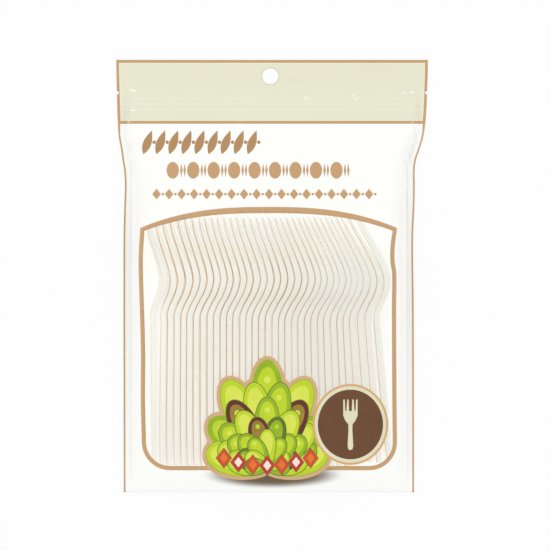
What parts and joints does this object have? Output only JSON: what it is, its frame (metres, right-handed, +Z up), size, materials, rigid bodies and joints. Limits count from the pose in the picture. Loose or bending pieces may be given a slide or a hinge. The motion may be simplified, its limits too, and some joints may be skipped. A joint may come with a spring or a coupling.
{
  "type": "resealable bag of plastic forks",
  "caption": "Flat resealable film bag with header, hang hole, zip and clear arched window, holding a row of white plastic forks nested on edge",
  "frame": {"origin": "centre of the bounding box in X and Y, on the surface the bag's back lies on", "axes": "+Z up, out of the window; +Y from the bag's foot to its header; +X to the right seen from above"},
  "size_m": [0.2074, 0.288, 0.0264],
  "materials": {
    "printed_film": "smooth printed film",
    "clear_film": "clear film",
    "zip_plastic": "satin",
    "fork_plastic": "smooth moulded"
  },
  "bodies": {
    "root": {"pouch": "printed_film", "window_film": "clear_film", "zip_front_track": "zip_plastic", "zip_back_track": "zip_plastic", "fork_01": "fork_plastic", "fork_02": "fork_plastic", "fork_03": "fork_plastic", "fork_04": "fork_plastic", "fork_05": "fork_plastic", "fork_06": "fork_plastic", "fork_07": "fork_plastic", "fork_08": "fork_plastic", "fork_09": "fork_plastic", "fork_10": "fork_plastic", "fork_11": "fork_plastic", "fork_12": "fork_plastic", "fork_13": "fork_plastic", "fork_14": "fork_plastic", "fork_15": "fork_plastic", "fork_16": "fork_plastic", "fork_17": "fork_plastic", "fork_18": "fork_plastic", "fork_19": "fork_plastic", "fork_20": "fork_plastic", "fork_21": "fork_plastic", "fork_22": "fork_plastic", "fork_23": "fork_plastic", "fork_24": "fork_plastic", "fork_25": "fork_plastic", "fork_26": "fork_plastic", "fork_27": "fork_plastic", "fork_28": "fork_plastic", "fork_29": "fork_plastic", "fork_30": "fork_plastic", "fork_31": "fork_plastic", "fork_32": "fork_plastic", "fork_33": "fork_plastic", "fork_34": "fork_plastic"}
  },
  "joints": []
}
